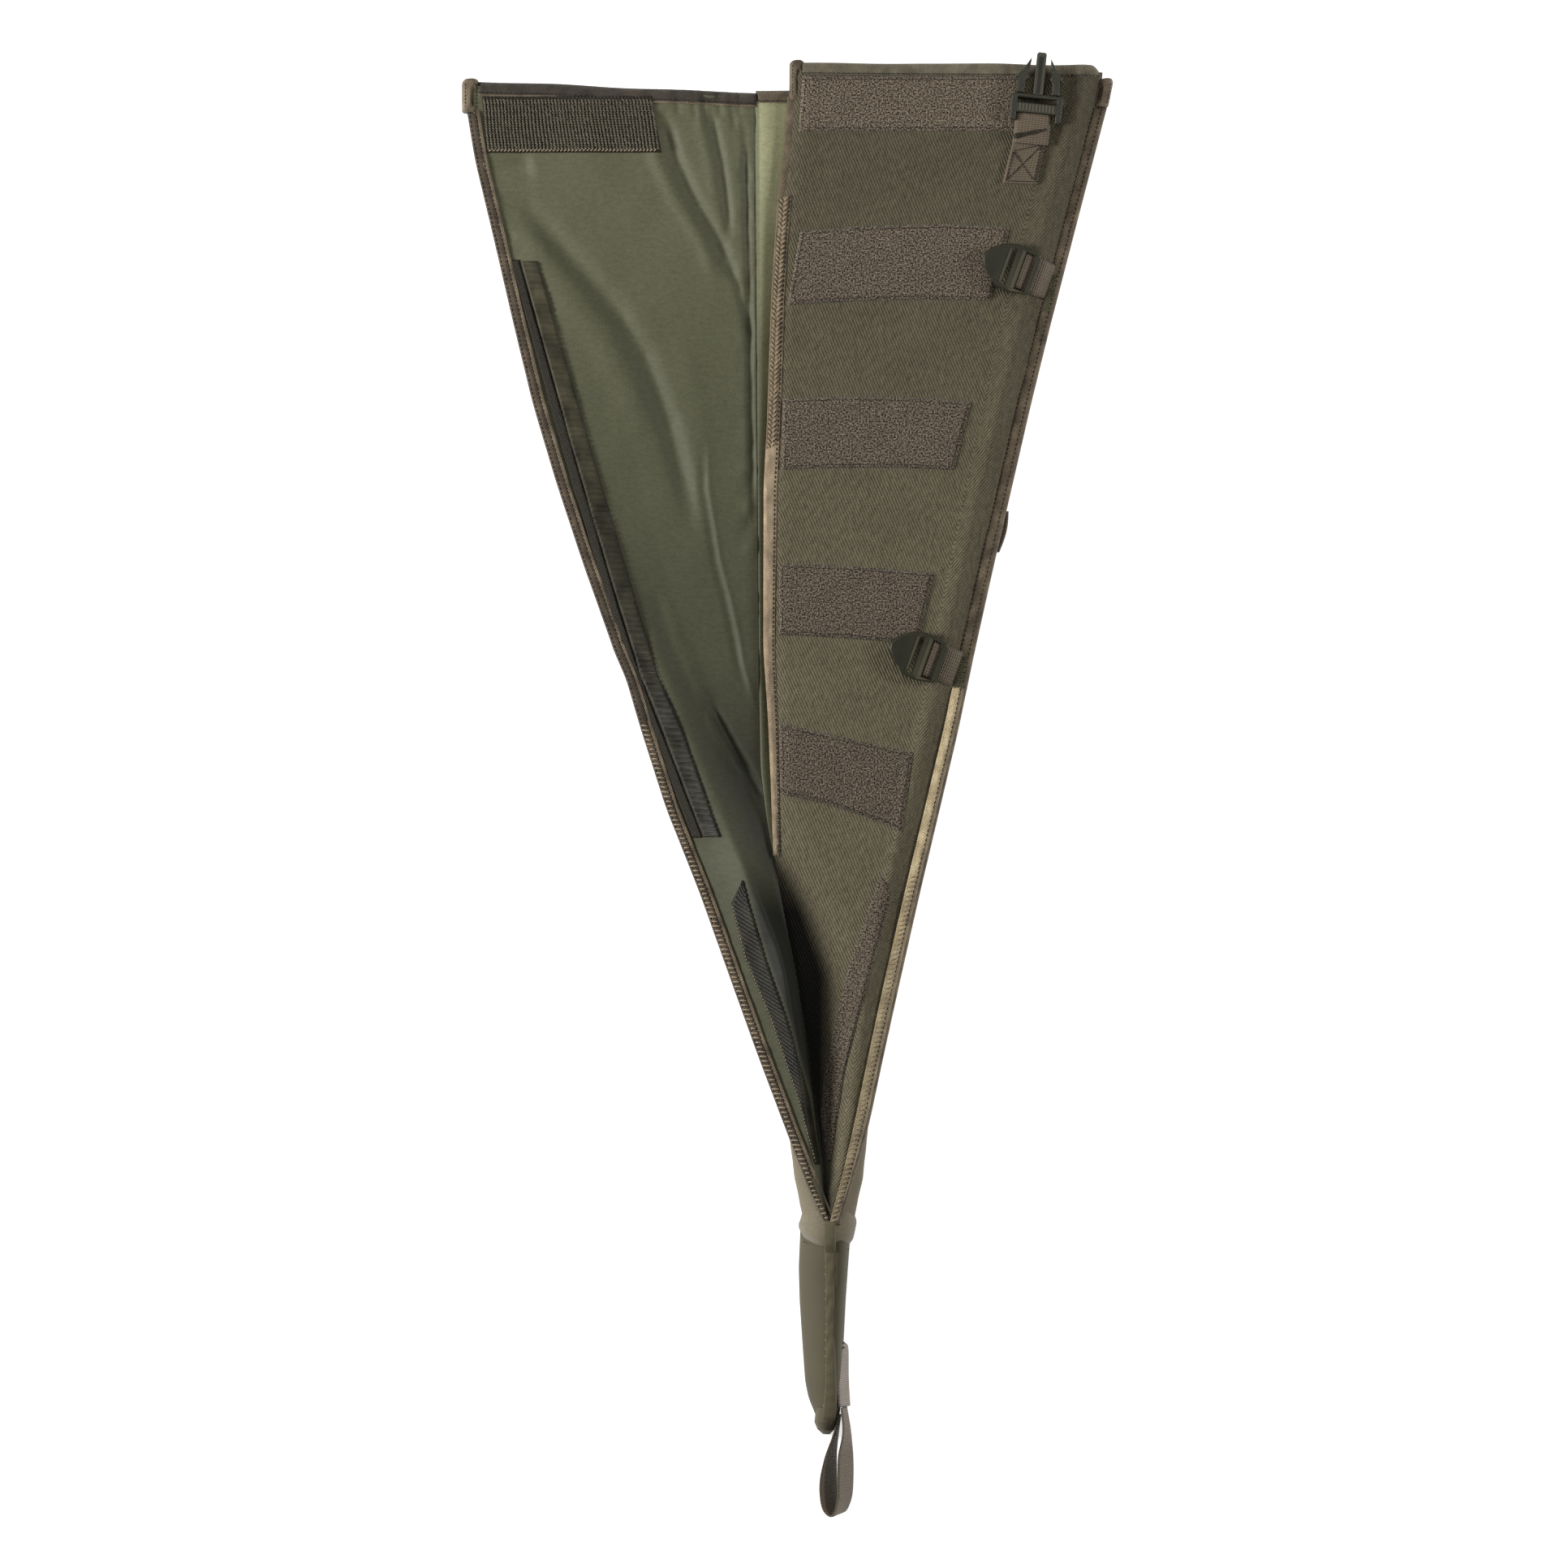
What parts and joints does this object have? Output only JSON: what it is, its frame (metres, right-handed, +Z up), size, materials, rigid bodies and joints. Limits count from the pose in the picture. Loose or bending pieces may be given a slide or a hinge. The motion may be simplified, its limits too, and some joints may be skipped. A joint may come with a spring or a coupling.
{
  "type": "soft long-gun scabbard",
  "caption": "Padded wedge-shaped soft scabbard for a long gun, lying open, with a hook-and-loop closing wing, lifting front panel, strap hardware and a muzzle loop.",
  "frame": {"origin": "on the supporting surface, under the middle of the whole outline, with the scabbard lying open on its back", "axes": "+Y towards the mouth, +X towards the sewn right seam, +Z up, out of the open side"},
  "size_m": [0.4317, 0.9704, 0.0434],
  "materials": {
    "twill": "matte olive-brown twill weave",
    "lining": "soft olive satin",
    "foam": "closed-cell foam",
    "binding_dark": "woven brown tape",
    "binding_tan": "woven tan tape with a stitch line",
    "hook_tape": "ribbed hook tape",
    "loop_tape": "fuzzy loop tape",
    "webbing": "ribbed woven webbing",
    "boot": "brushed suede-like cloth",
    "sleeve": "smooth coated cloth",
    "plastic": "satin moulded plastic"
  },
  "bodies": {
    "root": {"back_outer_cover": "twill", "back_foam": "foam", "back_lining": "lining", "back_top_binding": "binding_dark", "fold_seam": "binding_tan", "right_seam_binding": "binding_tan", "right_seam_end_tab": "binding_tan", "tube_front_outer_cover": "twill", "tube_front_foam": "foam", "tube_front_lining": "lining", "loop_strip_lower": "loop_tape", "lip_lining": "lining", "lip_foam": "foam", "lip_outer_cover": "twill", "lip_edge_binding": "binding_tan", "hook_tape_lower": "hook_tape", "lower_boot": "boot", "boot_hem": "boot", "muzzle_sleeve": "sleeve", "muzzle_end_cap": "sleeve", "sleeve_front_binding": "sleeve", "muzzle_loop_anchor": "webbing", "back_strap_fold": "webbing"},
    "wing": {"wing_lining": "lining", "wing_foam": "foam", "wing_outer_cover": "twill", "wing_top_binding": "binding_dark", "wing_edge_binding": "binding_tan", "wing_corner_tab": "binding_dark", "hook_tape_top": "hook_tape", "hook_tape_long": "hook_tape"},
    "front_panel": {"front_panel_outer_cover": "twill", "front_panel_foam": "foam", "front_panel_lining": "lining", "front_top_binding": "binding_tan", "front_free_edge_binding": "binding_tan", "front_corner_tab": "binding_dark", "loop_patch_1": "loop_tape", "loop_patch_2": "loop_tape", "loop_patch_3": "loop_tape", "loop_patch_4": "loop_tape", "loop_patch_5": "loop_tape", "buckle_strap_tab": "webbing"},
    "upper_lock": {"lock_tab_upper": "webbing", "ladder_lock_upper": "plastic"},
    "lower_lock": {"lock_tab_lower": "webbing", "ladder_lock_lower": "plastic"},
    "buckle": {"buckle_strap": "webbing", "buckle_frame": "plastic"},
    "left_prong": {"buckle_prong_left": "plastic"},
    "right_prong": {"buckle_prong_right": "plastic"},
    "muzzle_loop": {"muzzle_loop": "webbing"}
  },
  "joints": [
    {"name": "wing_fold", "type": "hinge", "parent": "root", "child": "wing", "pos_m": [-0.02011, 0.2, 0.013], "axis": [-0.0074, 1, 0], "range_deg": [0, 140]},
    {"name": "front_panel_lift", "type": "hinge", "parent": "root", "child": "front_panel", "pos_m": [0.14281, 0.2, 0.01403], "axis": [-0.2327, -0.9725, 0.0077], "range_deg": [-50, 0]},
    {"name": "upper_lock_flip", "type": "hinge", "parent": "front_panel", "child": "upper_lock", "pos_m": [0.17263, 0.333, 0.01597], "axis": [0.342, 0.9397, 0], "range_deg": [0, 140]},
    {"name": "lower_lock_flip", "type": "hinge", "parent": "front_panel", "child": "lower_lock", "pos_m": [0.11115, 0.076, 0.01801], "axis": [0.342, 0.9397, 0], "range_deg": [0, 140]},
    {"name": "buckle_flip", "type": "hinge", "parent": "front_panel", "child": "buckle", "pos_m": [0.163, 0.424, 0.0239], "axis": [1, 0, 0], "range_deg": [0, 150]},
    {"name": "left_prong_squeeze", "type": "hinge", "parent": "buckle", "child": "left_prong", "pos_m": [0.15357, 0.45835, 0.0266], "axis": [0, 0, -1], "range_deg": [0, 5], "stiffness_Nm_per_rad": 0.4},
    {"name": "right_prong_squeeze", "type": "hinge", "parent": "buckle", "child": "right_prong", "pos_m": [0.17744, 0.45584, 0.0266], "axis": [0, 0, 1], "range_deg": [0, 5], "stiffness_Nm_per_rad": 0.4},
    {"name": "muzzle_loop_swing", "type": "hinge", "parent": "root", "child": "muzzle_loop", "pos_m": [0.0395, -0.4152, 0.012], "axis": [0, 0, 1], "range_deg": [0, 30]}
  ],
  "couplings": [
    {"joint": "right_prong_squeeze", "follows": "left_prong_squeeze", "ratio": 1}
  ]
}
